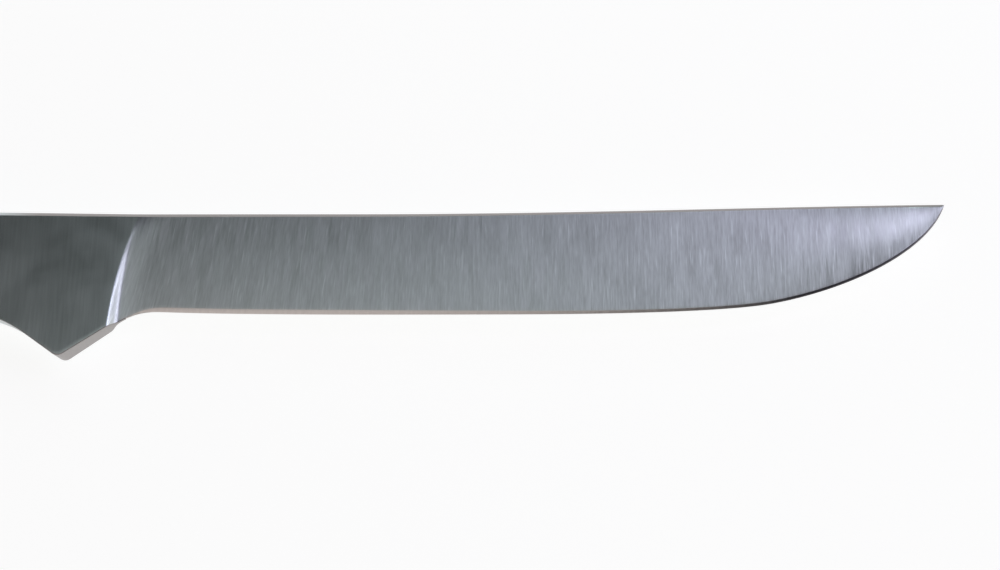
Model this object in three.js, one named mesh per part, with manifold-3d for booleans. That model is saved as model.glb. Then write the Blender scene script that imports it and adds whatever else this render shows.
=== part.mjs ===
// Boning knife: a forging that is blade, finger guard, neck, bolster and full tang in one piece, with two
// handle scales held on by three two-piece cutlery rivets.
//
// Millimetres. The knife lies on the flat of its left scale: +X runs to the point, +Y to the spine and +Z
// up. It is drawn about its own middle plane (z = 0), with x = 0 near the plunge line and y = 0 just below
// the straight spine. The group at the end moves it, so that the origin is the centre of its box's underside.

import * as THREE from 'three';
import { mergeVertices } from 'three/addons/utils/BufferGeometryUtils.js';
import Module from 'manifold-3d';

const { lerp, clamp, smoothstep } = THREE.MathUtils;

// Outline: the stations along x where one curve hands over to the next.
const TIP = [161.2, 2.3];
const EDGE_HEEL = [8.5, -19.15];
const EDGE_MIDDLE = [76, -19.62];
const BELLY_MIDDLE = [127.1, -17.42];
const SPINE_RISE_START = [45, 0.3];
const NECK_APEX = [-28, -19.9];
const GUARD_TIP_X = -9.4;
const PALM_SWELL = [-68, -23.8];
const NECK_TOP = [-28, 0.22];
const HANDLE_CROWN = [-80, 1];
const BUTT_CORNER = [-133, -21.5];

// Half thicknesses, measured from the middle plane.
const HANDLE_HALF = 7.75;
const TANG_HALF = 1.75;
const SPINE_HALF_HEEL = 1.25;
const SPINE_HALF_TIP = 0.62;
const EDGE_HALF = 0.24;
const APEX_HALF = 0.03;
const TIP_THINNING = 0.7;

// The neck's two faces are planes that spread towards the handle and, less, towards the guard.
const NECK_HALF_AT_PLUNGE = 1.42;
const NECK_SPREAD_X = 0.05;
const NECK_SPREAD_Y = 0.035;

// Bolster: the neck flares to the full handle between these stations, and the scales butt on the shoulder.
const FLARE_FRONT_X = -23.5;
const FLARE_REAR_X = -34.5;
const SHOULDER_X = -36.5;

// Plunge: the shoulder line where the blade's grind leaves the neck, the concave fillet that starts there,
// and the shallow apron that leads on to the blade. Each ease rounds off the corner at the shoulder.
const PLUNGE_TOP_X = 4.4;
const PLUNGE_BOTTOM_X = -0.32;
const PLUNGE_BOW = 0.8;
const FILLET_WIDTH_TOP = 0.85;
const FILLET_WIDTH_BOTTOM = 1.65;
const FILLET_CURVE = 2;
const FILLET_EASE_SHARE = 0.27;
const APRON_WIDTH = 4.6;
const APRON_HEIGHT = 0.37;
const APRON_CURVE = 1.5;
const APRON_EASE = 1.7;

// The grind is a little convex towards the tip.
const TIP_BULGE = 0.33;
const TIP_BULGE_START_X = 105;
const TIP_BULGE_FULL_X = 148;

// Edges and corners. The spine is chamfered. The sharp edge and its faintly convex bevel start at the heel.
const EASED_EDGE = 0.2;
const SPINE_EASE = 0.76;
const SPINE_EASE_TIP = 0.5;
const SPINE_EASE_DEPTH = 0.95;
const SPINE_EASE_SHARE = 0.7;
const SPINE_FLATNESS = 0.85;
const SHARP_START_X = 4;
const SHARP_FULL_X = 11;
const BEVEL_FLATNESS = 0.6;
const BEVEL_HEEL = 0.9;
const BEVEL_BELLY = 0.56;
const BEVEL_HEEL_X = 30;
const BEVEL_BELLY_X = 110;
const HANDLE_ROUND_Z = 4;
const HANDLE_ROUND_Y = 5;

// Rivets: each is a pin half pressed into a tube half, with heads a hair below the faces of the scales.
const RIVETS = [
  { place: 'front', x: -54, y: -11.2 },
  { place: 'middle', x: -85, y: -11.4 },
  { place: 'rear', x: -116, y: -12.6 },
];
const RIVET_HEAD_RADIUS = 4;
const RIVET_HEAD_THICKNESS = 2;
const RIVET_HEAD_RECESS = 0.05;
const RIVET_TUBE_RADIUS = 2.5;
const RIVET_PIN_RADIUS = 1.5;
const RIVET_CLEARANCE = 0.1;
const RIVET_TUBE_GAP = 0.6;
const RIVET_PIN_SHORT = 1.4;
const RIVET_PIN_GAP = 0.4;
const RIVET_SIDES = 24;

const GLUE_LINE = 0.05;
const FINE_STEPS = 96;
const HANDLE_STEPS = 12;

const STEEL = { color: 0x8b9094, roughness: 0.36, metalness: 1 };
const RIVET_STEEL = { color: 0xb4b6b8, roughness: 0.28, metalness: 1 };
const HANDLE_POLYMER = { color: 0x17181a, roughness: 0.5, metalness: 0 };

// ---------------------------------------------------------------- outline

const point = ([x, y]) => new THREE.Vector2(x, y);
const bezier = (...corners) => new THREE.CubicBezierCurve(...corners.map(point));
const line = (from, to) => new THREE.LineCurve(point(from), point(to));

// The top and bottom of the side view, each as curves laid end to end in +X, from the butt to the tip.
const handleTop = [
  bezier([-133, -14], [-133, -9], [-128.5, -5.1], [-122, -3]),
  bezier([-122, -3], [-114, -0.4], [-100, 1], HANDLE_CROWN),
  bezier(HANDLE_CROWN, [-62, 1], [-50, 0.2], NECK_TOP),
];
const handleBottom = [
  bezier(BUTT_CORNER, [-133, -26], [-129, -28.2], [-124.5, -28]),
  bezier([-124.5, -28], [-116, -27.6], [-113, -22.6], [-102, -22.4]),
  bezier([-102, -22.4], [-91, -22.2], [-82, -24], PALM_SWELL),
  bezier(PALM_SWELL, [-54, -23.6], [-40, -19.9], NECK_APEX),
];
const bladeTop = [
  line(NECK_TOP, SPINE_RISE_START),
  bezier(SPINE_RISE_START, [88, 0.3], [129, 2.0], TIP),
];
const bladeBottom = [
  bezier(NECK_APEX, [-23.5, -19.9], [-19.4, -21.45], [-15.6, -24.1]),
  line([-15.6, -24.1], [-10.3, -27.8]),
  bezier([-10.3, -27.8], [-9.7, -28.2], [-9.0, -28.2], [-8.4, -27.8]),
  line([-8.4, -27.8], [-0.4, -22.4]),
  bezier([-0.4, -22.4], [2, -20.6], [4.6, -19.15], EDGE_HEEL),
  bezier(EDGE_HEEL, [25, -19.75], [50, -19.68], EDGE_MIDDLE),
  bezier(EDGE_MIDDLE, [100.4, -19.56], [119.4, -18.92], BELLY_MIDDLE),
  bezier(BELLY_MIDDLE, [142, -14.52], [157.7, -7.1], TIP),
];

function chainPoints(curves, steps) {
  const path = new THREE.CurvePath();
  curves.forEach((curve) => path.add(curve));
  return path.getPoints(steps);
}

// Turns curves that run in +X into a function that gives y at x.
function heightAlong(curves) {
  const points = chainPoints(curves, FINE_STEPS);
  return (x) => {
    const next = Math.max(1, points.findIndex((p) => p.x > x));
    const before = points[next - 1];
    const after = points[next];
    const share = clamp((x - before.x) / (after.x - before.x), 0, 1);
    return lerp(before.y, after.y, share);
  };
}

const topY = heightAlong([...handleTop, ...bladeTop]);
const bottomY = heightAlong([...handleBottom, ...bladeBottom]);

// The handle's side view. It runs on ahead of the shoulder, so that the shoulder plane can cut it square.
function handleShape() {
  const top = chainPoints(handleTop, HANDLE_STEPS);
  const bottom = chainPoints(handleBottom, HANDLE_STEPS);
  return new THREE.Shape([...top, ...bottom.reverse()]);
}

// ---------------------------------------------------------------- thickness

// 0 on the neck, 1 on the full handle.
const flare = (x) => smoothstep(-x, -FLARE_FRONT_X, -FLARE_REAR_X);

// The plunge line's x, where v runs from 0 at the spine to 1 at the edge.
const plungeX = (v) => lerp(PLUNGE_TOP_X, PLUNGE_BOTTOM_X, v) - 4 * PLUNGE_BOW * v * (1 - v);

// The blade's grind: a wedge from the spine to the shoulder of the edge bevel, thinner towards the tip.
function grindHalf(x, v) {
  const depth = topY(x) - bottomY(x);
  const fullDepth = topY(EDGE_MIDDLE[0]) - EDGE_MIDDLE[1];
  const share = Math.min(1, depth / fullDepth);
  const taper = lerp(SPINE_HALF_HEEL, SPINE_HALF_TIP, clamp(x / TIP[0], 0, 1));
  const spineHalf = lerp(EDGE_HALF, taper, share ** TIP_THINNING);
  const bulge = TIP_BULGE * share * smoothstep(x, TIP_BULGE_START_X, TIP_BULGE_FULL_X);
  return lerp(spineHalf, EDGE_HALF, v) + bulge * 4 * v * (1 - v);
}

const neckHalf = (x, y) => NECK_HALF_AT_PLUNGE - NECK_SPREAD_X * x - NECK_SPREAD_Y * y;

// The area from 0 to t under a curve that is 1 before t = 0 and falls as (1 - t) ** power to 0 at t = 1.
function areaUnder(t, power) {
  return t < 0 ? t : (1 - (1 - clamp(t, 0, 1)) ** (power + 1)) / (power + 1);
}

// 1 behind the shoulder and 0 at this width past it, with the corner at the shoulder eased.
function falloff(past, width, power, ease) {
  const upTo = areaUnder((past + ease) / width, power);
  const before = areaUnder((past - ease) / width, power);
  return ((upTo - before) * width) / (2 * ease);
}

// Behind the plunge line lie the neck and the bolster's flare, and ahead of it the fillet, apron and grind.
function forgingHalf(x, v) {
  const y = lerp(topY(x), bottomY(x), v);
  const shoulderX = plungeX(v);
  const base = grindHalf(x, v);
  const step = Math.max(0, neckHalf(Math.min(x, shoulderX), y) - base);
  if (x < FLARE_FRONT_X) {
    return base + lerp(step, HANDLE_HALF - base, flare(x));
  }
  const past = x - shoulderX;
  const apron = APRON_HEIGHT * (1 - Math.exp(-step / APRON_HEIGHT));
  const apronLeft = apron * falloff(past, APRON_WIDTH, APRON_CURVE, APRON_EASE);
  const width = lerp(FILLET_WIDTH_TOP, FILLET_WIDTH_BOTTOM, v);
  return base + apronLeft + (step - apron) * falloff(past, width, FILLET_CURVE, FILLET_EASE_SHARE * width);
}

// ---------------------------------------------------------------- forging

const CORNER_STEPS = 3;
const FACE_STEPS = 6;
const LEAN_REACH = 12.5;

// Runs of stations along the forging, closer together where its shape changes fast.
const GUARD_RUN = 6;
const FILLET_START_X = 0;
const FILLET_END_X = 3.4;
const TIP_RUN_X = 120;
const STATION_RUNS = [
  { from: SHOULDER_X, to: FLARE_FRONT_X, count: 12 },
  { from: FLARE_FRONT_X, to: GUARD_TIP_X - GUARD_RUN, count: 5 },
  { from: GUARD_TIP_X - GUARD_RUN, to: GUARD_TIP_X + GUARD_RUN, count: 16 },
  { from: GUARD_TIP_X + GUARD_RUN, to: FILLET_START_X, count: 6 },
  { from: FILLET_START_X, to: FILLET_END_X, count: 17 },
  { from: FILLET_END_X, to: SHARP_FULL_X, count: 10 },
  { from: SHARP_FULL_X, to: TIP_RUN_X, count: 20 },
];
const TIP_STATIONS = 20;
const TIP_FLAT = 0.15;

function stations() {
  const list = [];
  for (const run of STATION_RUNS) {
    for (let i = 0; i < run.count; i += 1) {
      list.push(lerp(run.from, run.to, i / run.count));
    }
  }
  for (let i = 0; i <= TIP_STATIONS; i += 1) {
    list.push(lerp(TIP_RUN_X, TIP[0] - TIP_FLAT, Math.sin((i / TIP_STATIONS) * Math.PI / 2)));
  }
  return list;
}

// Stations near the plunge lean with its line, and stand upright again a little way off.
function leanedX(station, v) {
  const away = Math.abs(station - plungeX(0.5) - APRON_WIDTH / 2);
  const weight = 1 - smoothstep(away, APRON_WIDTH / 2, LEAN_REACH);
  return station + weight * (plungeX(v) - plungeX(0.5));
}

// How far the chamfer, rounding or bevel at the top and bottom reaches down the face and into the thickness.
function corners(x) {
  const round = flare(x);
  const spineEase = lerp(SPINE_EASE, SPINE_EASE_TIP, clamp(x / TIP[0], 0, 1));
  const bevel = lerp(BEVEL_HEEL, BEVEL_BELLY, smoothstep(x, BEVEL_HEEL_X, BEVEL_BELLY_X));
  const sharp = smoothstep(x, SHARP_START_X, SHARP_FULL_X);
  const depth = topY(x) - bottomY(x);
  const topDrop = Math.min(lerp(spineEase, HANDLE_ROUND_Y, round), depth / 3);
  const bottomRise = Math.min(lerp(lerp(EASED_EDGE, HANDLE_ROUND_Y, round), bevel, sharp), depth / 3);
  const topV = topDrop / depth;
  const bottomV = 1 - bottomRise / depth;
  const topHalf = forgingHalf(leanedX(x, topV), topV);
  const bottomHalf = forgingHalf(leanedX(x, bottomV), bottomV);
  const rounding = Math.min(lerp(EASED_EDGE, HANDLE_ROUND_Z, round), bottomHalf - APEX_HALF);
  return {
    topV,
    bottomV,
    topIn: Math.min(lerp(SPINE_EASE_DEPTH * spineEase, HANDLE_ROUND_Z, round), SPINE_EASE_SHARE * topHalf),
    bottomIn: lerp(rounding, EDGE_HALF - APEX_HALF, sharp),
    topFlatness: lerp(SPINE_FLATNESS, 0, round),
    bottomFlatness: BEVEL_FLATNESS * sharp,
  };
}

// One side of a station's section, from the spine's flat to the edge, as v and the cut into the thickness.
function sectionRows(x) {
  const { topV, bottomV, topIn, bottomIn, topFlatness, bottomFlatness } = corners(x);
  const rows = [];
  for (let i = 0; i < CORNER_STEPS; i += 1) {
    const share = i / CORNER_STEPS;
    const angle = (share * Math.PI) / 2;
    const along = lerp(1 - Math.cos(angle), share, topFlatness);
    const inward = lerp(1 - Math.sin(angle), 1 - share, topFlatness);
    rows.push({ v: topV * along, cut: inward * topIn });
  }
  for (let i = 0; i <= FACE_STEPS; i += 1) {
    rows.push({ v: lerp(topV, bottomV, i / FACE_STEPS), cut: 0 });
  }
  for (let i = 1; i <= CORNER_STEPS; i += 1) {
    const share = i / CORNER_STEPS;
    const angle = (share * Math.PI) / 2;
    const along = lerp(Math.sin(angle), share, bottomFlatness);
    const inward = lerp(1 - Math.cos(angle), share, bottomFlatness);
    rows.push({ v: lerp(bottomV, 1, along), cut: inward * bottomIn });
  }
  return rows;
}

function sectionRing(station) {
  const right = sectionRows(station).map(({ v, cut }) => {
    const x = leanedX(station, v);
    return new THREE.Vector3(x, lerp(topY(x), bottomY(x), v), forgingHalf(x, v) - cut);
  });
  const left = right.map((p) => new THREE.Vector3(p.x, p.y, -p.z)).reverse();
  return [...right, ...left];
}

// Skins rings of equal length into one closed body, with a fan over each end.
function loft(rings) {
  const size = rings[0].length;
  const positions = rings.flat().flatMap((p) => [p.x, p.y, p.z]);
  const index = [];
  for (let i = 0; i + 1 < rings.length; i += 1) {
    for (let j = 0; j < size; j += 1) {
      const a = i * size + j;
      const b = i * size + (j + 1) % size;
      index.push(a, b, a + size, b, b + size, a + size);
    }
  }
  const last = (rings.length - 1) * size;
  for (let j = 1; j + 1 < size; j += 1) {
    index.push(0, j + 1, j);
    index.push(last, last + j, last + j + 1);
  }
  const geometry = new THREE.BufferGeometry();
  geometry.setAttribute('position', new THREE.Float32BufferAttribute(positions, 3));
  geometry.setIndex(index);
  return geometry;
}

// ---------------------------------------------------------------- solids

const wasm = await Module();
wasm.setup();

function toSolid(geometry) {
  const bare = geometry.clone();
  bare.deleteAttribute('normal');
  bare.deleteAttribute('uv');
  const merged = mergeVertices(bare, 1e-4);
  return new wasm.Manifold(new wasm.Mesh({
    numProp: 3,
    vertProperties: new Float32Array(merged.attributes.position.array),
    triVerts: new Uint32Array(merged.index.array),
  }));
}

function toGeometry(solid) {
  const mesh = solid.getMesh();
  const geometry = new THREE.BufferGeometry();
  geometry.setAttribute('position', new THREE.BufferAttribute(mesh.vertProperties, 3));
  geometry.setIndex(new THREE.BufferAttribute(mesh.triVerts, 1));
  geometry.computeVertexNormals();
  return geometry;
}

function boxBetween(low, high) {
  const geometry = new THREE.BoxGeometry(high[0] - low[0], high[1] - low[1], high[2] - low[2]);
  geometry.translate((low[0] + high[0]) / 2, (low[1] + high[1]) / 2, (low[2] + high[2]) / 2);
  return toSolid(geometry);
}

// A round tool or body standing on the middle plane's normal, from [radius, z] corners off the axis.
function turned(corners2d, place) {
  const profile = corners2d.map(([radius, z]) => new THREE.Vector2(radius, z));
  const geometry = new THREE.LatheGeometry(profile, RIVET_SIDES);
  geometry.rotateX(Math.PI / 2);
  geometry.translate(place.x, place.y, 0);
  return geometry;
}

function drill(solid, place, radius, fromZ, toZ) {
  const hole = turned([[0, fromZ], [radius, fromZ], [radius, toZ], [0, toZ]], place);
  return solid.subtract(toSolid(hole));
}

const tubeHole = RIVET_TUBE_RADIUS + RIVET_CLEARANCE;
const headHole = RIVET_HEAD_RADIUS + RIVET_CLEARANCE;
const OUTSIDE = 200;

// The rounded handle slab that both the scales and the tang's outline come from.
function handleSlab(half, round) {
  const geometry = new THREE.ExtrudeGeometry(handleShape(), {
    depth: 2 * (half - round.z),
    bevelEnabled: round.z > 0,
    bevelThickness: round.z,
    bevelSize: round.y,
    bevelOffset: -round.y,
    bevelSegments: 4,
  });
  geometry.translate(0, 0, round.z - half);
  return toSolid(geometry);
}

function bladeForging() {
  const front = toSolid(loft(stations().map(sectionRing)));
  const behindShoulder = boxBetween([-OUTSIDE, -OUTSIDE, -OUTSIDE], [SHOULDER_X + 1, OUTSIDE, OUTSIDE]);
  let forging = handleSlab(TANG_HALF, { y: 0, z: 0 }).intersect(behindShoulder).add(front);
  for (const rivet of RIVETS) {
    forging = drill(forging, rivet, tubeHole, -HANDLE_HALF, HANDLE_HALF);
  }
  return toGeometry(forging);
}

// A scale is drawn on the right side; side -1 turns it over to make the left one.
function scale(side) {
  const low = [-OUTSIDE, -OUTSIDE, TANG_HALF + GLUE_LINE];
  const high = [SHOULDER_X - GLUE_LINE, OUTSIDE, OUTSIDE];
  const slab = handleSlab(HANDLE_HALF, { y: HANDLE_ROUND_Y, z: HANDLE_ROUND_Z });
  let body = slab.intersect(boxBetween(low, high));
  for (const rivet of RIVETS) {
    body = drill(body, rivet, tubeHole, 0, HANDLE_HALF);
    body = drill(body, rivet, headHole, HANDLE_HALF - RIVET_HEAD_THICKNESS, HANDLE_HALF + 1);
  }
  const geometry = toGeometry(body);
  return side > 0 ? geometry : turnedOver(geometry);
}

// Mirrors a body through the middle plane and keeps its faces pointing out.
function turnedOver(geometry) {
  const positions = geometry.attributes.position;
  for (let i = 0; i < positions.count; i += 1) {
    positions.setZ(i, -positions.getZ(i));
  }
  const index = geometry.index;
  for (let i = 0; i < index.count; i += 3) {
    const second = index.getX(i + 1);
    index.setX(i + 1, index.getX(i + 2));
    index.setX(i + 2, second);
  }
  geometry.computeVertexNormals();
  return geometry;
}

// The pin half goes in from the left scale and the tube half from the right one.
const HEAD_FACE = HANDLE_HALF - RIVET_HEAD_RECESS;
const HEAD_SEAT = HANDLE_HALF - RIVET_HEAD_THICKNESS + RIVET_CLEARANCE;
const TUBE_END = RIVET_TUBE_GAP - HEAD_SEAT;
const PIN_END = HEAD_SEAT - RIVET_PIN_SHORT;
const BORE_END = PIN_END + RIVET_PIN_GAP;
const BORE_RADIUS = RIVET_PIN_RADIUS + RIVET_CLEARANCE;

function rivetTube(place) {
  return turned([
    [0, BORE_END],
    [BORE_RADIUS, BORE_END],
    [BORE_RADIUS, TUBE_END],
    [RIVET_TUBE_RADIUS, TUBE_END],
    [RIVET_TUBE_RADIUS, HEAD_SEAT],
    [RIVET_HEAD_RADIUS, HEAD_SEAT],
    [RIVET_HEAD_RADIUS, HEAD_FACE],
    [0, HEAD_FACE],
  ], place);
}

function rivetPin(place) {
  return turned([
    [0, -HEAD_FACE],
    [RIVET_HEAD_RADIUS, -HEAD_FACE],
    [RIVET_HEAD_RADIUS, -HEAD_SEAT],
    [RIVET_PIN_RADIUS, -HEAD_SEAT],
    [RIVET_PIN_RADIUS, PIN_END],
    [0, PIN_END],
  ], place);
}

// ---------------------------------------------------------------- assembly

const knife = new THREE.Group();

function addPiece(name, geometry, finish) {
  const mesh = new THREE.Mesh(geometry, new THREE.MeshStandardMaterial(finish));
  mesh.name = name;
  knife.add(mesh);
}

addPiece('blade_forging', bladeForging(), STEEL);
addPiece('scale_right', scale(1), HANDLE_POLYMER);
addPiece('scale_left', scale(-1), HANDLE_POLYMER);
for (const rivet of RIVETS) {
  addPiece(`rivet_${rivet.place}_tube`, rivetTube(rivet), RIVET_STEEL);
  addPiece(`rivet_${rivet.place}_pin`, rivetPin(rivet), RIVET_STEEL);
}

// The origin moves to the centre of the underside of the knife's box.
const box = new THREE.Box3().setFromObject(knife);
const centre = box.getCenter(new THREE.Vector3());
knife.position.set(-centre.x, -centre.y, -box.min.z);

export default knife;
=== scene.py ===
"""Looks of the boning knife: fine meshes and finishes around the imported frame, with floor, lights and camera.

The drawing is in millimetres about the knife's own middle plane: +X to the point, +Y to the spine and +Z out
of its right side. `placed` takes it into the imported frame, which is in metres.
"""

import math

import bpy
import numpy as np
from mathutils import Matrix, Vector


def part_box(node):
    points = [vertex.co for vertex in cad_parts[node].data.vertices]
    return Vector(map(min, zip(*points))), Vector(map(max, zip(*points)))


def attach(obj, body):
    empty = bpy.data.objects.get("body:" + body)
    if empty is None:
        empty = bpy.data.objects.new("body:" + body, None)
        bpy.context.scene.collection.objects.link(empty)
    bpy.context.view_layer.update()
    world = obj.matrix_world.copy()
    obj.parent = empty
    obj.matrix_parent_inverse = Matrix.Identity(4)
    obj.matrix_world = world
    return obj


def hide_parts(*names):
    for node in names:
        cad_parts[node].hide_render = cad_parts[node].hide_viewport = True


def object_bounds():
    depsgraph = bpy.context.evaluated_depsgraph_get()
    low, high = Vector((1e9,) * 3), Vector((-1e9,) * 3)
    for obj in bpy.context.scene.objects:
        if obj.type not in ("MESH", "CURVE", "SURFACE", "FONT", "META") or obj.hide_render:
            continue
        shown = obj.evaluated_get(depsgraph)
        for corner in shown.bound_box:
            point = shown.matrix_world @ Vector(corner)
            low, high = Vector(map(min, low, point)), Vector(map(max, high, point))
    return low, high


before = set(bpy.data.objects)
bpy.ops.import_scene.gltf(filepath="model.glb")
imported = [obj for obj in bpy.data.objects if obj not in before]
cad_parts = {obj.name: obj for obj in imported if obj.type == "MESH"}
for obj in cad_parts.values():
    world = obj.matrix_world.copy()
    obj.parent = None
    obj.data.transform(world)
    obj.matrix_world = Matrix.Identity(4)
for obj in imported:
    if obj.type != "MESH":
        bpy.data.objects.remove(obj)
cad_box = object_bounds()

MM = 0.001

# ---------------------------------------------------------------- driving dimensions, in millimetres

# Outline: the stations where one curve hands over to the next.
TIP = (161.2, 2.3)
EDGE_HEEL = (8.5, -19.15)
EDGE_MIDDLE = (76, -19.62)
BELLY_MIDDLE = (127.1, -17.42)
SPINE_RISE_START = (45, 0.3)
NECK_APEX = (-28, -19.9)
PALM_SWELL = (-68, -23.8)
NECK_TOP = (-28, 0.22)
HANDLE_CROWN = (-80, 1)
BUTT_CORNER = (-133, -21.5)
TIP_FLAT = 0.15

# Half thicknesses, measured from the middle plane.
HANDLE_HALF = 7.75
TANG_HALF = 1.75
SPINE_HALF_HEEL = 1.25
SPINE_HALF_TIP = 0.62
EDGE_HALF = 0.24
APEX_HALF = 0.02
TIP_THINNING = 0.7

# The neck's two faces are planes that spread towards the handle and, less, towards the guard.
NECK_HALF_AT_PLUNGE = 1.42
NECK_SPREAD_X = 0.05
NECK_SPREAD_Y = 0.035

# Bolster: the neck flares to the full handle between these stations, and the scales butt on the shoulder.
FLARE_FRONT_X = -23.5
FLARE_REAR_X = -34.5
SHOULDER_X = -36.5

# Plunge: the shoulder line where the grind leaves the neck, the concave fillet that starts there, and the
# shallow apron that leads on to the blade. Each ease rounds off the corner at the shoulder.
PLUNGE_TOP_X = 4.4
PLUNGE_BOTTOM_X = -0.32
PLUNGE_BOW = 0.8
FILLET_WIDTH_TOP = 0.85
FILLET_WIDTH_BOTTOM = 1.65
FILLET_CURVE = 2
FILLET_EASE_SHARE = 0.27
APRON_WIDTH = 4.6
APRON_HEIGHT = 0.37
APRON_CURVE = 1.5
APRON_EASE = 1.7

# The forging's stations lean with the shoulder line up to this far from the apron's middle.
LEAN_REACH = 12.5

# The grind is a little convex towards the tip.
TIP_BULGE = 0.42
TIP_BULGE_START_X = 112
TIP_BULGE_FULL_X = 152

# Edges and corners. The spine is chamfered. The sharp edge and its faintly convex bevel start at the heel.
EASED_EDGE = 0.2
SPINE_EASE = 0.76
SPINE_EASE_TIP = 0.5
SPINE_EASE_DEPTH = 0.95
SPINE_EASE_SHARE = 0.7
SPINE_FLATNESS = 0.85
SHARP_START_X = 4
SHARP_FULL_X = 11
BEVEL_FLATNESS = 0.6
BEVEL_HEEL = 0.9
BEVEL_BELLY = 0.56
BEVEL_HEEL_X = 30
BEVEL_BELLY_X = 110
HANDLE_ROUND_Z = 4
HANDLE_ROUND_Y = 5
GLUE_LINE = 0.05

# Rivets: each is a pin half pressed into a tube half, with heads a hair below the faces of the scales.
RIVETS = {"front": (-54, -11.2), "middle": (-85, -11.4), "rear": (-116, -12.6)}
RIVET_HEAD_RADIUS = 4
RIVET_HEAD_THICKNESS = 2
RIVET_TUBE_RADIUS = 2.5
RIVET_PIN_RADIUS = 1.5
RIVET_CLEARANCE = 0.1
RIVET_TUBE_GAP = 0.6
RIVET_PIN_SHORT = 1.4
RIVET_PIN_GAP = 0.4
RIVET_EASE = 0.12
RIVET_CROWN = 0.04

# ---------------------------------------------------------------- outline

HANDLE_TOP = [
    [(-133, -14), (-133, -9), (-128.5, -5.1), (-122, -3)],
    [(-122, -3), (-114, -0.4), (-100, 1), HANDLE_CROWN],
    [HANDLE_CROWN, (-62, 1), (-50, 0.2), NECK_TOP],
]
HANDLE_BOTTOM = [
    [BUTT_CORNER, (-133, -26), (-129, -28.2), (-124.5, -28)],
    [(-124.5, -28), (-116, -27.6), (-113, -22.6), (-102, -22.4)],
    [(-102, -22.4), (-91, -22.2), (-82, -24), PALM_SWELL],
    [PALM_SWELL, (-54, -23.6), (-40, -19.9), NECK_APEX],
]
BLADE_TOP = [
    [NECK_TOP, SPINE_RISE_START],
    [SPINE_RISE_START, (88, 0.3), (129, 2.0), TIP],
]
BLADE_BOTTOM = [
    [NECK_APEX, (-23.5, -19.9), (-19.4, -21.45), (-15.6, -24.1)],
    [(-15.6, -24.1), (-10.3, -27.8)],
    [(-10.3, -27.8), (-9.7, -28.2), (-9.0, -28.2), (-8.4, -27.8)],
    [(-8.4, -27.8), (-0.4, -22.4)],
    [(-0.4, -22.4), (2, -20.6), (4.6, -19.15), EDGE_HEEL],
    [EDGE_HEEL, (25, -19.75), (50, -19.68), EDGE_MIDDLE],
    [EDGE_MIDDLE, (100.4, -19.56), (119.4, -18.92), BELLY_MIDDLE],
    [BELLY_MIDDLE, (142, -14.52), (157.7, -7.1), TIP],
]

# Steps along each curve, for measuring heights along it and for drawing the handle with it.
CURVE_STEPS = 240
OUTLINE_STEPS = 40


def curve_points(corners, steps):
    """Points along a Bezier curve of any degree, by repeated halving between its corners."""
    share = np.linspace(0, 1, steps + 1)[:, None]
    levels = [np.array(corner, float) + 0 * share for corner in corners]
    while len(levels) > 1:
        levels = [a + (b - a) * share for a, b in zip(levels, levels[1:])]
    return levels[0]


def chain(curves, steps=CURVE_STEPS):
    """The points of curves laid end to end, each joint once."""
    runs = [curve_points(corners, steps) for corners in curves]
    return np.vstack([runs[0]] + [run[1:] for run in runs[1:]])


TOP_LINE = chain(HANDLE_TOP + BLADE_TOP)
BOTTOM_LINE = chain(HANDLE_BOTTOM + BLADE_BOTTOM)


def top_y(x):
    """The height of the handle's back and the blade's spine."""
    return np.interp(x, TOP_LINE[:, 0], TOP_LINE[:, 1])


def bottom_y(x):
    """The height of the handle's belly, the guard and the edge."""
    return np.interp(x, BOTTOM_LINE[:, 0], BOTTOM_LINE[:, 1])


forging_low, forging_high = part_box("blade_forging")
LAST_X = TIP[0] - TIP_FLAT

# Where the drawing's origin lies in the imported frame.
ORIGIN = Vector((
    forging_high.x - LAST_X * MM,
    forging_high.y - top_y(LAST_X) * MM,
    (forging_low.z + forging_high.z) / 2,
))


def placed(points):
    """Points of the drawing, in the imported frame."""
    return np.asarray(points, float) * MM + np.array(ORIGIN)


# ---------------------------------------------------------------- thickness


def lerp(a, b, share):
    """From a at 0 to b at 1."""
    return a + (b - a) * share


def smoothstep(x, low, high):
    """0 up to low, 1 from high on, and a smooth rise between."""
    share = np.clip((x - low) / (high - low), 0, 1)
    return share * share * (3 - 2 * share)


def flare(x):
    """0 on the neck, 1 on the full handle."""
    return smoothstep(-x, -FLARE_FRONT_X, -FLARE_REAR_X)


def plunge_x(v):
    """The plunge line's x, where v runs from 0 at the spine to 1 at the edge."""
    return lerp(PLUNGE_TOP_X, PLUNGE_BOTTOM_X, v) - 4 * PLUNGE_BOW * v * (1 - v)


def grind_half(x, v):
    """The grind: a wedge from the spine to the edge bevel, thinner and faintly convex towards the tip."""
    depth = top_y(x) - bottom_y(x)
    share = np.minimum(1, depth / (top_y(EDGE_MIDDLE[0]) - EDGE_MIDDLE[1]))
    taper = lerp(SPINE_HALF_HEEL, SPINE_HALF_TIP, np.clip(x / TIP[0], 0, 1))
    spine_half = lerp(EDGE_HALF, taper, share**TIP_THINNING)
    bulge = TIP_BULGE * share * smoothstep(x, TIP_BULGE_START_X, TIP_BULGE_FULL_X)
    return lerp(spine_half, EDGE_HALF, v) + bulge * 4 * v * (1 - v)


def neck_half(x, y):
    """Half the neck's thickness."""
    return NECK_HALF_AT_PLUNGE - NECK_SPREAD_X * x - NECK_SPREAD_Y * y


def falloff(past, width, power, ease):
    """1 behind the shoulder and (1 - t) ** power over this width past it, with the corner between eased."""

    def area(t):
        return np.where(t < 0, t, (1 - (1 - np.clip(t, 0, 1)) ** (power + 1)) / (power + 1))

    return (area((past + ease) / width) - area((past - ease) / width)) * width / (2 * ease)


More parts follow.
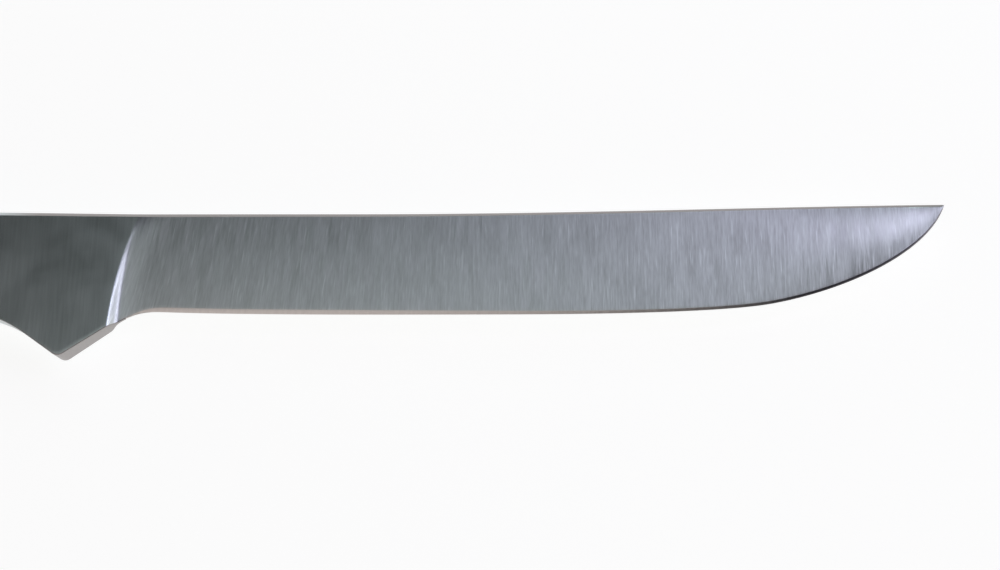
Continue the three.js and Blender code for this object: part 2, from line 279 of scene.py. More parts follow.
def forging_half(x, v):
    """Half the thickness: the bolster and neck, and past the plunge line the fillet, apron and grind."""
    y = lerp(top_y(x), bottom_y(x), v)
    shoulder = plunge_x(v)
    base = grind_half(x, v)
    step = np.maximum(neck_half(np.minimum(x, shoulder), y) - base, 0)
    apron = APRON_HEIGHT * (1 - np.exp(-step / APRON_HEIGHT))
    past = x - shoulder
    apron_left = apron * falloff(past, APRON_WIDTH, APRON_CURVE, APRON_EASE)
    width = lerp(FILLET_WIDTH_TOP, FILLET_WIDTH_BOTTOM, v)
    ahead = apron_left + (step - apron) * falloff(past, width, FILLET_CURVE, FILLET_EASE_SHARE * width)
    return base + np.where(x < FLARE_FRONT_X, lerp(step, HANDLE_HALF - base, flare(x)), ahead)


# ---------------------------------------------------------------- mesh tools


def closed_faces(rings):
    """Quads between neighbouring rings of points, then a cap on each end."""
    count, size = rings.shape[:2]
    index = np.arange(count * size).reshape(count, size)
    following = np.roll(index, -1, axis=1)
    quads = np.stack([index[:-1], following[:-1], following[1:], index[1:]], axis=-1)
    return [*quads.reshape(-1, 4).tolist(), index[0, ::-1].tolist(), index[-1].tolist()]


def mesh_object(name, rings, materials, face_materials=None):
    """A smooth-shaded closed body from rings of points of the drawing, linked to the scene."""
    mesh = bpy.data.meshes.new(name)
    mesh.from_pydata(placed(rings.reshape(-1, 3)).tolist(), [], closed_faces(rings))
    for material in materials:
        mesh.materials.append(material)
    if face_materials is not None:
        mesh.polygons.foreach_set("material_index", face_materials)
    mesh.shade_smooth()
    made = bpy.data.objects.new(name, mesh)
    bpy.context.scene.collection.objects.link(made)
    return made


def combine(target, other, operation):
    """Joins or cuts target with other, which is used up."""
    modifier = target.modifiers.new("combine", "BOOLEAN")
    modifier.operation = operation
    modifier.solver = "MANIFOLD"
    modifier.object = other
    depsgraph = bpy.context.evaluated_depsgraph_get()
    result = bpy.data.meshes.new_from_object(target.evaluated_get(depsgraph), depsgraph=depsgraph)
    target.modifiers.clear()
    target.data = result
    bpy.data.objects.remove(other)


NORMAL_WEIGHT = 80


def crisp(target, degrees):
    """Splits the shading at corners sharper than this, and keeps flat faces flat beside small roundings."""
    target.data.set_sharp_from_angle(angle=math.radians(degrees))
    modifier = target.modifiers.new("weighted", "WEIGHTED_NORMAL")
    modifier.keep_sharp = True
    modifier.weight = NORMAL_WEIGHT


# ---------------------------------------------------------------- materials

# The middle stretch of a noise's values that is spread over the full range: the narrower, the stronger.
WIDE = (0.3, 0.7)
MIDDLE = (0.35, 0.65)
NARROW = (0.38, 0.62)


class Finish:
    """A Principled material under construction, with short ways to add its nodes."""

    def __init__(self, name):
        self.material = bpy.data.materials.new(name)
        self.material.use_nodes = True
        self.nodes = self.material.node_tree.nodes
        self.links = self.material.node_tree.links
        self.shader = self.nodes["Principled BSDF"]

    def set(self, **values):
        """Sets the shader's inputs by name, with underscores for spaces."""
        for name, value in values.items():
            self.shader.inputs[name.replace("_", " ")].default_value = value
        return self

    def link(self, output, name):
        """Joins an output to the shader's input of this name."""
        self.links.new(output, self.shader.inputs[name])

    def brush_map(self):
        """The brush map's coordinates in millimetres: across the grinding lines, and along them."""
        node = self.nodes.new("ShaderNodeUVMap")
        node.uv_map = "brush"
        return node.outputs["UV"]

    def stretched(self, scale):
        """The brush map's coordinates, squeezed by scale."""
        mapping = self.nodes.new("ShaderNodeMapping")
        mapping.inputs["Scale"].default_value = scale
        self.links.new(self.brush_map(), mapping.inputs["Vector"])
        return mapping.outputs["Vector"]

    def split(self, vector, axis):
        """One of a vector's numbers, by its axis, X, Y or Z."""
        node = self.nodes.new("ShaderNodeSeparateXYZ")
        self.links.new(vector, node.inputs["Vector"])
        return node.outputs[axis]

    def solid(self, scale):
        """Object coordinates in millimetres, squeezed by scale."""
        coordinates = self.nodes.new("ShaderNodeTexCoord")
        mapping = self.nodes.new("ShaderNodeMapping")
        mapping.inputs["Scale"].default_value = [s / MM for s in scale]
        self.links.new(coordinates.outputs["Object"], mapping.inputs["Vector"])
        return mapping.outputs["Vector"]

    def noise(self, vector, detail, roughness=0.5):
        """Smooth noise around 0.5, one wave per unit of the vector, with this many finer octaves."""
        node = self.nodes.new("ShaderNodeTexNoise")
        node.inputs["Scale"].default_value = 1
        node.inputs["Detail"].default_value = detail
        node.inputs["Roughness"].default_value = roughness
        self.links.new(vector, node.inputs["Vector"])
        return node.outputs["Fac"]

    def spread(self, value, low, high, to_low, to_high):
        """Value's range from low to high, spread from to_low to to_high and held there beyond."""
        node = self.nodes.new("ShaderNodeMapRange")
        for name, number in zip(("From Min", "From Max", "To Min", "To Max"), (low, high, to_low, to_high)):
            node.inputs[name].default_value = number
        self.links.new(value, node.inputs["Value"])
        return node.outputs["Result"]

    def math(self, operation, a, b):
        """A sum, difference or product of two numbers or outputs."""
        node = self.nodes.new("ShaderNodeMath")
        node.operation = operation
        for socket, value in zip(node.inputs, (a, b)):
            if isinstance(value, (int, float)):
                socket.default_value = value
            else:
                self.links.new(value, socket)
        return node.outputs["Value"]

    def weighted(self, a, b, share):
        """The mean of a and b, where b counts for this share."""
        return self.math("ADD", self.math("MULTIPLY", a, 1 - share), self.math("MULTIPLY", b, share))

    def blend(self, value, dark, light):
        """A colour between dark and light, by value from 0 to 1."""
        node = self.nodes.new("ShaderNodeMix")
        node.data_type = "RGBA"
        for socket, colour in (("A", dark), ("B", light)):
            if isinstance(colour, tuple):
                node.inputs[socket].default_value = (*colour, 1)
            else:
                self.links.new(colour, node.inputs[socket])
        self.links.new(value, node.inputs["Factor"])
        return node.outputs["Result"]

    def bump(self, height, depth):
        """Relief of this depth, in millimetres, for height from 0 to 1."""
        node = self.nodes.new("ShaderNodeBump")
        node.inputs["Strength"].default_value = 1
        node.inputs["Distance"].default_value = depth * MM
        self.links.new(height, node.inputs["Height"])
        self.link(node.outputs["Normal"], "Normal")

    def lengthwise_gloss(self):
        """Spreads highlights along the brush map's first axis."""
        node = self.nodes.new("ShaderNodeTangent")
        node.direction_type = "UV_MAP"
        node.uv_map = "brush"
        self.link(node.outputs["Tangent"], "Tangent")


# A noise's scale is in waves per millimetre: across the grinding lines, along them and, unused, in depth, or
# along X, Y and Z. A relief is in millimetres.
HAIRS = (4.2, 0.5, 1)
LINES = (2.2, 0.13, 1)
BANDS = (0.4, 0.1, 1)
GLINTS = (2.7, 0.17, 1)
GLINT_STRETCH = (0.6, 0.74)
# How much the glints lighten the base colour, as painted highlights, and how much they raise the relief.
GLINT_PAINTED_HIGHLIGHT = 0.5
GLINT_HEIGHT = 0.3
LINE_SHARE = 0.6
BAND_SHARE = 0.3
GRIND_DARK = (0.45, 0.475, 0.475)
GRIND_LIGHT = (0.82, 0.87, 0.875)
GRIND_TONE = 0.44
GRIND_ROUGHNESS = (0.29, 0.39)
GRIND_RELIEF = 0.0011

# The lines grow bolder between these stations.
BOLD_START_X = 60
BOLD_FULL_X = 140
LEAST_BOLD = 0.58

# Painted shade: the upper heel is painted a little darker, and the painted shade has gone between these
# stations.
HEEL_PAINTED_SHADE_X = 42
HEEL_PAINTED_SHADE_END_X = 78
HEEL_PAINTED_SHADE_Y = (-20, -4)
HEEL_PAINTED_SHADE = (0.02, 0.22)

# Painted highlight and shade: the point's back is painted lighter, and its belly darker, between these
# stations.
TIP_PAINTED_HIGHLIGHT_X = 136
TIP_PAINTED_HIGHLIGHT_FULL_X = 150
TIP_PAINTED_HIGHLIGHT_Y = (-9, -0.5)
TIP_PAINTED_HIGHLIGHT = (-0.12, 0.3)

# Painted shade: the very point is painted dark.
POINT_PAINTED_SHADE_X = 156
POINT_PAINTED_SHADE_FULL_X = 159.5
POINT_PAINTED_SHADE = 0.6


def grind_tone(finish):
    """The tone that the blade's lines vary about, from place to place, with painted shade on the upper heel,
    the point's belly and the very point, and a painted highlight on the point's back.
    """
    x, y = [finish.split(finish.brush_map(), axis) for axis in "XY"]
    # Painted shade: the upper heel is darkened in the base colour.
    at_heel = finish.spread(x, HEEL_PAINTED_SHADE_X, HEEL_PAINTED_SHADE_END_X, 1, 0)
    painted_heel_shade = finish.math("MULTIPLY", at_heel, finish.spread(y, *HEEL_PAINTED_SHADE_Y, *HEEL_PAINTED_SHADE))
    # Painted highlight on the point's back, with painted shade on its belly.
    at_tip = finish.spread(x, TIP_PAINTED_HIGHLIGHT_X, TIP_PAINTED_HIGHLIGHT_FULL_X, 0, 1)
    painted_highlight = finish.math("MULTIPLY", at_tip, finish.spread(y, *TIP_PAINTED_HIGHLIGHT_Y, *TIP_PAINTED_HIGHLIGHT))
    # Painted shade on the very point.
    point_painted_shade = finish.spread(x, POINT_PAINTED_SHADE_X, POINT_PAINTED_SHADE_FULL_X, 0, POINT_PAINTED_SHADE)
    return finish.math("SUBTRACT", finish.math("ADD", painted_highlight, GRIND_TONE), finish.math("ADD", painted_heel_shade, point_painted_shade))


def brushed_grind():
    """The blade's faces: ground across the blade in lines of several widths, bolder towards the point, with
    painted glints and the painted shade and highlight of grind_tone.
    """
    finish = Finish("brushed_grind").set(Metallic=1.0, Anisotropic=0.75)
    hair = finish.noise(finish.stretched(HAIRS), detail=1)
    line = finish.noise(finish.stretched(LINES), detail=2)
    band = finish.noise(finish.stretched(BANDS), detail=2)
    # Glints are painted highlights: sparse bright streaks added to the base colour, which also raise the relief
    # a little.
    glint = finish.spread(finish.noise(finish.stretched(GLINTS), detail=1), *GLINT_STRETCH, 0, 1)
    lines = finish.weighted(hair, line, LINE_SHARE)
    mixed = finish.spread(finish.weighted(lines, band, BAND_SHARE), *WIDE, -0.5, 0.5)
    grain_and_painted_glints = finish.math("ADD", mixed, finish.math("MULTIPLY", glint, GLINT_PAINTED_HIGHLIGHT))
    x = finish.split(finish.brush_map(), "X")
    boldness = finish.spread(x, BOLD_START_X, BOLD_FULL_X, LEAST_BOLD, 1)
    toned = finish.math("ADD", finish.math("MULTIPLY", grain_and_painted_glints, boldness), grind_tone(finish))
    finish.link(finish.blend(toned, GRIND_DARK, GRIND_LIGHT), "Base Color")
    finish.link(finish.spread(line, *WIDE, *GRIND_ROUGHNESS), "Roughness")
    finish.bump(finish.math("ADD", lines, finish.math("MULTIPLY", glint, GLINT_HEIGHT)), GRIND_RELIEF)
    finish.lengthwise_gloss()
    return finish.material


SATIN_GRAIN = (6, 6, 6)
SATIN_CLOUD = (0.16, 0.16, 0.16)
SATIN_BRUSHING = (2.2, 0.12, 0.4)
SATIN_BRUSHING_SHARE = 0.7
SATIN_DARK = (0.565, 0.62, 0.63)
SATIN_LIGHT = (0.65, 0.71, 0.72)
SATIN_ROUGHNESS = (0.3, 0.36)
SATIN_RELIEF = 0.0008


def satin_neck():
    """The neck, guard and bolster: smooth, fine satin with hardly any direction."""
    finish = Finish("satin_neck").set(Metallic=1.0)
    grain = finish.noise(finish.solid(SATIN_GRAIN), detail=3, roughness=0.6)
    cloud = finish.noise(finish.solid(SATIN_CLOUD), detail=2)
    brushing = finish.noise(finish.solid(SATIN_BRUSHING), detail=1)
    mixed = finish.weighted(grain, brushing, SATIN_BRUSHING_SHARE)
    finish.link(finish.blend(finish.spread(mixed, *MIDDLE, 0, 1), SATIN_DARK, SATIN_LIGHT), "Base Color")
    finish.link(finish.spread(cloud, *WIDE, *SATIN_ROUGHNESS), "Roughness")
    finish.bump(grain, SATIN_RELIEF)
    return finish.material


# The rims have the satin's tones on the bolster, and are painted darker and warmer from there to this station,
# as painted shade with the warm tint of a painted reflection.
EDGE_PAINTED_SHADE_X = -15
EDGE_PAINTED_SHADE_DARK = (0.33, 0.312, 0.305)
EDGE_PAINTED_SHADE_LIGHT = (0.40, 0.378, 0.37)
RIM_LINES = (0.12, 5, 5)
RIM_ROUGHNESS = (0.36, 0.46)
RIM_RELIEF = 0.001


def ground_edges():
    """The spine, the faces under the guard and the tang's rim: ground along the knife, and painted darker and
    warmer in front, as painted shade with a painted warm reflection.
    """
    finish = Finish("ground_edges").set(Metallic=1.0)
    line = finish.noise(finish.solid(RIM_LINES), detail=3, roughness=0.6)
    tone = finish.spread(line, *MIDDLE, 0, 1)
    # Painted shade: darker and warmer from the bolster forwards.
    rear, front = [ORIGIN.x / MM + x for x in (FLARE_FRONT_X, EDGE_PAINTED_SHADE_X)]
    edge_painted_shade = finish.spread(finish.split(finish.solid((1, 1, 1)), "X"), rear, front, 0, 1)
    dark = finish.blend(edge_painted_shade, SATIN_DARK, EDGE_PAINTED_SHADE_DARK)
    light = finish.blend(edge_painted_shade, SATIN_LIGHT, EDGE_PAINTED_SHADE_LIGHT)
    finish.link(finish.blend(tone, dark, light), "Base Color")
    finish.link(finish.spread(line, *WIDE, *RIM_ROUGHNESS), "Roughness")
    finish.bump(line, RIM_RELIEF)
    return finish.material


# The bevel is bright at the heel, and is painted darker with height up the belly, as painted shade.
WHETTED_SCRATCHES = (1.6, 0.5, 1)
WHETTED_DARK = (0.78, 0.765, 0.745)
WHETTED_LIGHT = (0.86, 0.845, 0.82)
WHETTED_BELLY_PAINTED_SHADE = (0.29, 0.28, 0.3)
BELLY_START_Y = -19.2
BELLY_FULL_Y = -16
WHETTED_ROUGHNESS = (0.28, 0.34)
WHETTED_RELIEF = 0.0002


def whetted_bevel():
    """The edge bevel: whetted finer than the grind, with short steep scratches, and painted shade that darkens
    it up the belly.
    """
    finish = Finish("whetted_bevel").set(Metallic=1.0)
    scratch = finish.noise(finish.stretched(WHETTED_SCRATCHES), detail=3)
    toned = finish.blend(finish.spread(scratch, *WIDE, 0, 1), WHETTED_DARK, WHETTED_LIGHT)
    # Painted shade: the bevel darkens with height up the belly.
    painted_shade_rise = finish.spread(finish.split(finish.brush_map(), "Y"), BELLY_START_Y, BELLY_FULL_Y, 0, 1)
    finish.link(finish.blend(painted_shade_rise, toned, WHETTED_BELLY_PAINTED_SHADE), "Base Color")
    finish.link(finish.spread(scratch, *WIDE, *WHETTED_ROUGHNESS), "Roughness")
    finish.bump(scratch, WHETTED_RELIEF)
    return finish.material


POLYMER_SANDING = (0.2, 5, 5)
POLYMER_PORES = (9, 9, 9)
POLYMER_WEAR = (0.07, 0.12, 0.12)
PORE_SHARE = 0.35
WEAR_TONE_SHARE = 0.4
WEAR_GLOSS_SHARE = 0.6
POLYMER_DARK = (0.009, 0.009, 0.01)
POLYMER_LIGHT = (0.03, 0.03, 0.031)
POLYMER_ROUGHNESS = (0.3, 0.56)
POLYMER_RELIEF = 0.012


def handle_polymer():
    """Black scales: moulded, then sanded flush along the handle and buffed unevenly by hand."""
    finish = Finish("handle_polymer").set(Specular_IOR_Level=0.45)
    sanding = finish.noise(finish.solid(POLYMER_SANDING), detail=3, roughness=0.6)
    pores = finish.noise(finish.solid(POLYMER_PORES), detail=2)
    wear = finish.noise(finish.solid(POLYMER_WEAR), detail=4, roughness=0.6)
    surface = finish.weighted(sanding, pores, PORE_SHARE)
    tone = finish.weighted(surface, wear, WEAR_TONE_SHARE)
    gloss = finish.weighted(sanding, wear, WEAR_GLOSS_SHARE)
    finish.link(finish.blend(finish.spread(tone, *NARROW, 0, 1), POLYMER_DARK, POLYMER_LIGHT), "Base Color")
    finish.link(finish.spread(gloss, *NARROW, *POLYMER_ROUGHNESS), "Roughness")
    finish.bump(surface, POLYMER_RELIEF)
    return finish.material


RIVET_SANDING = (0.3, 6, 6)
RIVET_DARK = (0.66, 0.66, 0.66)
RIVET_LIGHT = (0.78, 0.78, 0.77)
RIVET_ROUGHNESS = (0.24, 0.36)
RIVET_RELIEF = 0.001


def rivet_steel():
    """Bright rivets, sanded flush with the scales along the handle."""
    finish = Finish("rivet_steel").set(Metallic=1.0)
    sanding = finish.noise(finish.solid(RIVET_SANDING), detail=3, roughness=0.6)
    finish.link(finish.blend(finish.spread(sanding, *MIDDLE, 0, 1), RIVET_DARK, RIVET_LIGHT), "Base Color")
    finish.link(finish.spread(sanding, *WIDE, *RIVET_ROUGHNESS), "Roughness")
    finish.bump(sanding, RIVET_RELIEF)
    return finish.material


# The order of the forging's finishes.
GRIND, SATIN, EDGES, BEVEL = range(4)
steel_finishes = [brushed_grind(), satin_neck(), ground_edges(), whetted_bevel()]
polymer_finish = handle_polymer()
rivet_finish = rivet_steel()

# ---------------------------------------------------------------- forging

# Steps down each side of a section: over either corner, and down the face between them.
CORNER_STEPS = 6
FACE_STEPS = 36

# Where the spacing of the forging's stations changes. They stand closest where its shape changes fastest.
GUARD_START_X = -12
GUARD_END_X = -6.6
FILLET_START_X = -0.6
FILLET_END_X = 3.2
BLADE_START_X = 8
TIP_RUN_X = 150

# Runs of stations: (start, end, step). The tip's own stations follow them.
STATION_RUNS = [
    (SHOULDER_X, FLARE_FRONT_X, 0.5),
    (FLARE_FRONT_X, GUARD_START_X, 1),
    (GUARD_START_X, GUARD_END_X, 0.15),
    (GUARD_END_X, FILLET_START_X, 0.5),
    (FILLET_START_X, FILLET_END_X, 0.1),
    (FILLET_END_X, BLADE_START_X, 0.3),
    (BLADE_START_X, BEVEL_HEEL_X, 1),
    (BEVEL_HEEL_X, BEVEL_BELLY_X, 2),
    (BEVEL_BELLY_X, TIP_RUN_X, 1),
]
TIP_STATIONS = 40


def stations():
    """Where the forging's sections stand along X, closest together at the tip."""
    runs = [np.arange(start, end - step / 2, step) for start, end, step in STATION_RUNS]
    tip = lerp(TIP_RUN_X, LAST_X, np.sin(np.linspace(0, math.pi / 2, TIP_STATIONS + 1)))
    return np.concatenate([*runs, tip])


def leaned_x(station, v):
    """Stations near the plunge lean with its line, and stand upright again a little way off."""
    away = abs(station - plunge_x(0.5) - APRON_WIDTH / 2)
    weight = 1 - smoothstep(away, APRON_WIDTH / 2, LEAN_REACH)
    return station + weight * (plunge_x(v) - plunge_x(0.5))


def section_rows(x):
    """One side of a station's section from spine to edge, as (v, cut into the thickness): a corner that is
    part chamfer and part rounding, the face, and below it another corner or the bevel."""
    depth = top_y(x) - bottom_y(x)
    most = depth / 3
    spine_ease = lerp(SPINE_EASE, SPINE_EASE_TIP, np.clip(x / TIP[0], 0, 1))
    sharp = smoothstep(x, SHARP_START_X, SHARP_FULL_X)
    bevel = lerp(BEVEL_HEEL, BEVEL_BELLY, smoothstep(x, BEVEL_HEEL_X, BEVEL_BELLY_X))
    top_v = min(lerp(spine_ease, HANDLE_ROUND_Y, flare(x)), most) / depth
    bottom_v = 1 - min(lerp(lerp(EASED_EDGE, HANDLE_ROUND_Y, flare(x)), bevel, sharp), most) / depth
    top_in = lerp(SPINE_EASE_DEPTH * spine_ease, HANDLE_ROUND_Z, flare(x))
    top_in = min(top_in, SPINE_EASE_SHARE * forging_half(leaned_x(x, top_v), top_v))
    bottom_in = lerp(EASED_EDGE, HANDLE_ROUND_Z, flare(x))
    bottom_in = min(bottom_in, forging_half(leaned_x(x, bottom_v), bottom_v) - APEX_HALF)
    bottom_in = lerp(bottom_in, EDGE_HALF - APEX_HALF, sharp)

    turn = np.linspace(0, math.pi / 2, CORNER_STEPS + 1)
    straight = np.linspace(0, 1, CORNER_STEPS + 1)
    flatness = lerp(SPINE_FLATNESS, 0, flare(x))
    along = lerp(1 - np.cos(turn), straight, flatness)[:-1]
    cut = lerp(1 - np.sin(turn), 1 - straight, flatness)[:-1]
    top_rows = zip(top_v * along, top_in * cut)
    face_rows = [(v, 0) for v in np.linspace(top_v, bottom_v, FACE_STEPS + 1)]
    flatness = BEVEL_FLATNESS * sharp
    along = lerp(np.sin(turn), straight, flatness)[1:]
    cut = lerp(1 - np.cos(turn), straight, flatness)[1:]
    bottom_rows = zip(lerp(bottom_v, 1, along), bottom_in * cut)
    return np.array([*top_rows, *face_rows, *bottom_rows])


def section_ring(station):
    """The whole section: down the right side and back up the left one."""
    v, cut = section_rows(station).T
    x = leaned_x(station, v)
    right = np.stack([x, lerp(top_y(x), bottom_y(x), v), forging_half(x, v) - cut], axis=1)
    left = right[::-1] * (1, 1, -1)
    return np.vstack([right, left])


def loft_materials():
    """The finish of each quad of the loft, in order: ring by ring, and round each ring from the spine."""
    side = CORNER_STEPS + FACE_STEPS + CORNER_STEPS + 1
    x = stations()
    middle = (x[:-1] + x[1:]) / 2
    ring = np.full((len(middle), 2 * side), SATIN)
    bare = middle > FLARE_FRONT_X
    ground = middle > plunge_x(0.5)
    sharp = middle > SHARP_START_X
    # Rows count from the spine on both sides, and -1 is the strip that joins the sides over the spine.
    row = np.arange(2 * side)
    row = np.minimum(row, 2 * side - 2 - row)
    on_bevel = row >= CORNER_STEPS + FACE_STEPS
    ring[np.ix_(ground, (row >= 0) & ~on_bevel)] = GRIND
    ring[np.ix_(bare, on_bevel)] = EDGES
    ring[np.ix_(sharp, on_bevel)] = BEVEL
    ring[np.ix_(bare, row < CORNER_STEPS)] = EDGES
    return ring.ravel()


# How far the tang runs on into the bolster, and the decimals to which its outline's points are told apart.
TANG_OVERLAP = 2
MERGE_DECIMALS = 6


def tang_block():
    """The full tang, drawn from the handle's outline and run on into the bolster."""
    top = chain(HANDLE_TOP, OUTLINE_STEPS)
    bottom = chain(HANDLE_BOTTOM, OUTLINE_STEPS)[::-1]
    outline = np.vstack([top, bottom])
    outline[:, 0] = np.minimum(outline[:, 0], SHOULDER_X + TANG_OVERLAP)
    _, first = np.unique(outline.round(MERGE_DECIMALS), axis=0, return_index=True)
    outline = outline[np.sort(first)]
    size = len(outline)
    rings = np.stack([np.c_[outline, np.full(size, z)] for z in (TANG_HALF, -TANG_HALF)])
    return mesh_object("tang", rings, steel_finishes, [EDGES] * (size + 2))


TURNED_SIDES = 96


def turned(name, profile, place, materials):
    """A round body about a rivet's axis, from (radius, z) corners in order from one end to the other."""
    angle = np.linspace(0, 2 * math.pi, TURNED_SIDES, endpoint=False)
    around = np.stack([np.cos(angle), np.sin(angle)], axis=1)
    rings = np.array([np.c_[place + radius * around, np.full(TURNED_SIDES, z)] for radius, z in profile])
    return mesh_object(name, rings, materials)


def forging():
    """The blade, guard, neck and bolster as a loft, joined to the tang and drilled for the rivets."""
    rings = np.array([section_ring(station) for station in stations()])
    body = mesh_object("forging", rings, steel_finishes, [*loft_materials(), EDGES, BEVEL])
    combine(body, tang_block(), "UNION")
    hole = RIVET_TUBE_RADIUS + RIVET_CLEARANCE
    for place in RIVETS.values():
        cutter = turned("drill", [(hole, -HANDLE_HALF), (hole, HANDLE_HALF)], place, steel_finishes)
        combine(body, cutter, "DIFFERENCE")
    return body


# ---------------------------------------------------------------- handle

ROUND_STEPS = 12

# A narrow flat strip inside the rounding, which keeps the shading of the flat flank even.
FLAT_MARGIN = 0.3


def handle_outline():
    """The scales' side view, from the shoulder along the top, round the butt and back along the bottom."""
    front = SHOULDER_X - GLUE_LINE
    line = np.vstack([chain(HANDLE_TOP, OUTLINE_STEPS)[::-1], chain(HANDLE_BOTTOM, OUTLINE_STEPS)])
    kept = line[line[:, 0] < front]
    return np.vstack([(front, top_y(front)), kept, (front, bottom_y(front))])


def inward_normals(line):
    """Unit normals that point into the outline; at its two ends they keep to the shoulder plane."""
    along = np.gradient(line, axis=0)
    normals = np.stack([-along[:, 1], along[:, 0]], axis=1)
    normals /= np.linalg.norm(normals, axis=1)[:, None]
    normals[0] = (0, -1)
    normals[-1] = (0, 1)
    return normals


def scale(name, side):
    """A handle scale with rounded outer edges and stepped rivet holes: side 1 is right, and -1 left."""
    line = handle_outline()
    normals = inward_normals(line)
    turn = np.linspace(0, math.pi / 2, ROUND_STEPS + 1)
    levels = [(0, TANG_HALF + GLUE_LINE)]
    levels += zip(HANDLE_ROUND_Y * (1 - np.cos(turn)), HANDLE_HALF - HANDLE_ROUND_Z * (1 - np.sin(turn)))
    levels += [(HANDLE_ROUND_Y + FLAT_MARGIN, HANDLE_HALF)]
    size = len(line)
    rings = np.array([np.c_[line + inset * normals, np.full(size, z)] for inset, z in levels])
    body = mesh_object(name, rings, [polymer_finish])
    hole = RIVET_TUBE_RADIUS + RIVET_CLEARANCE
    seat = RIVET_HEAD_RADIUS + RIVET_CLEARANCE
    for place in RIVETS.values():
        profile = [
            (hole, 0),
            (hole, HANDLE_HALF - RIVET_HEAD_THICKNESS),
            (seat, HANDLE_HALF - RIVET_HEAD_THICKNESS),
            (seat, HANDLE_HALF - RIVET_EASE),
            (seat + 2 * RIVET_EASE, HANDLE_HALF + RIVET_EASE),
        ]
        combine(body, turned("drill", profile, place, [polymer_finish]), "DIFFERENCE")
    if side < 0:
        turn_over(body)
    return body


def turn_over(body):
    """Mirrors a body through the middle plane and keeps its faces pointing out."""
    middle = ORIGIN.z
    for vertex in body.data.vertices:
        vertex.co.z = 2 * middle - vertex.co.z
    body.data.flip_normals()


# Heights along a rivet's axis from the middle plane: its head's face and underside, and its pin's end.
HEAD_FACE = HANDLE_HALF - GLUE_LINE
HEAD_SEAT = HANDLE_HALF - RIVET_HEAD_THICKNESS + RIVET_CLEARANCE
PIN_END = HEAD_SEAT - RIVET_PIN_SHORT
HEAD_STEPS = 6


def head_profile():
    """The outside of a rivet head from its rim to its middle: an eased corner, then a faint crown."""
    turn = np.linspace(0, math.pi / 2, HEAD_STEPS)
    flat = RIVET_HEAD_RADIUS - RIVET_EASE
    rim = HEAD_FACE - RIVET_CROWN - RIVET_EASE
    corner = zip(flat + RIVET_EASE * np.cos(turn), rim + RIVET_EASE * np.sin(turn))
    share = np.linspace(1, 0, HEAD_STEPS, endpoint=False)[1:]
    crown = zip(flat * share, HEAD_FACE - RIVET_CROWN * share**2)
    return [*corner, *crown]


def rivet_tube(name, place):
    """The half with the bore, and its head on the right."""
    bore = RIVET_PIN_RADIUS + RIVET_CLEARANCE
    tube_end = RIVET_TUBE_GAP - HEAD_SEAT
    profile = [
        (bore, PIN_END + RIVET_PIN_GAP),
        (bore, tube_end),
        (RIVET_TUBE_RADIUS, tube_end),
        (RIVET_TUBE_RADIUS, HEAD_SEAT),
        (RIVET_HEAD_RADIUS, HEAD_SEAT),
        *head_profile(),
    ]
    return turned(name, profile, place, [rivet_finish])


def rivet_pin(name, place):
    """The half that stands in the bore, with its head on the left."""
    head = [(radius, -z) for radius, z in reversed(head_profile())]
    shank = [(RIVET_HEAD_RADIUS, -HEAD_SEAT), (RIVET_PIN_RADIUS, -HEAD_SEAT), (RIVET_PIN_RADIUS, PIN_END)]
    return turned(name, [*head, *shank], place, [rivet_finish])


# ---------------------------------------------------------------- brush direction

# The grinding lines' lean in degrees: stations along X, and the lean at each.
BRUSH_LEAN = ((0, 12, 35, 75), (14, 8, 6, 0))


def map_brush(body):
    """Lays the brush map over a body, in millimetres: u stays the same along a grinding line, as v runs."""
    layer = body.data.uv_layers.new(name="brush")
    points = np.zeros(3 * len(body.data.vertices))
    body.data.vertices.foreach_get("co", points)
    x, y, _ = ((points.reshape(-1, 3) - np.array(ORIGIN)) / MM).T
    lean = np.radians(np.interp(x, *BRUSH_LEAN))
    corners = np.zeros(len(body.data.loops), int)
    body.data.loops.foreach_get("vertex_index", corners)
    layer.uv.foreach_set("vector", np.stack([x - y * np.tan(lean), y], axis=1)[corners].ravel())


# ---------------------------------------------------------------- assembly

# The least corners, in degrees, that stay sharp in the shading.
FORGING_CORNER = 28
PIECE_CORNER = 40


def add(body, node, corner_degrees):
    """Puts a finished piece in the place of its CAD node."""
    map_brush(body)
    crisp(body, corner_degrees)
    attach(body, "root")
    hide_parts(node)


add(forging(), "blade_forging", FORGING_CORNER)
add(scale("right_scale", 1), "scale_right", PIECE_CORNER)
add(scale("left_scale", -1), "scale_left", PIECE_CORNER)
for rivet_name, rivet_place in RIVETS.items():
    tube = rivet_tube(f"{rivet_name}_rivet_tube", rivet_place)
    add(tube, f"rivet_{rivet_name}_tube", PIECE_CORNER)
    pin = rivet_pin(f"{rivet_name}_rivet_pin", rivet_place)
    add(pin, f"rivet_{rivet_name}_pin", PIECE_CORNER)

# ---------------------------------------------------------------- studio

FLOOR_HALF = 3.0
FLOOR_GLOW = 0.84
FLOOR_GLOW_COLOUR = (1, 1, 0.995)
FLOOR_COLOUR = (0.3, 0.3, 0.298)


def floor():
    """A wide pale floor that glows a little, as a white sweep does under studio light."""
    mesh = bpy.data.meshes.new("floor")
    corners = [(x * FLOOR_HALF, y * FLOOR_HALF, 0) for x, y in ((-1, -1), (1, -1), (1, 1), (-1, 1))]
    mesh.from_pydata(corners, [], [range(4)])
    finish = Finish("pale_floor")
    finish.set(Roughness=0.9, Specular_IOR_Level=0.0, Emission_Strength=FLOOR_GLOW)
    finish.shader.inputs["Base Color"].default_value = (*FLOOR_COLOUR, 1)
    finish.shader.inputs["Emission Color"].default_value = (*FLOOR_GLOW_COLOUR, 1)
    mesh.materials.append(finish.material)
    made = bpy.data.objects.new("floor", mesh)
    made.location.z = cad_box[0].z
    bpy.context.scene.collection.objects.link(made)


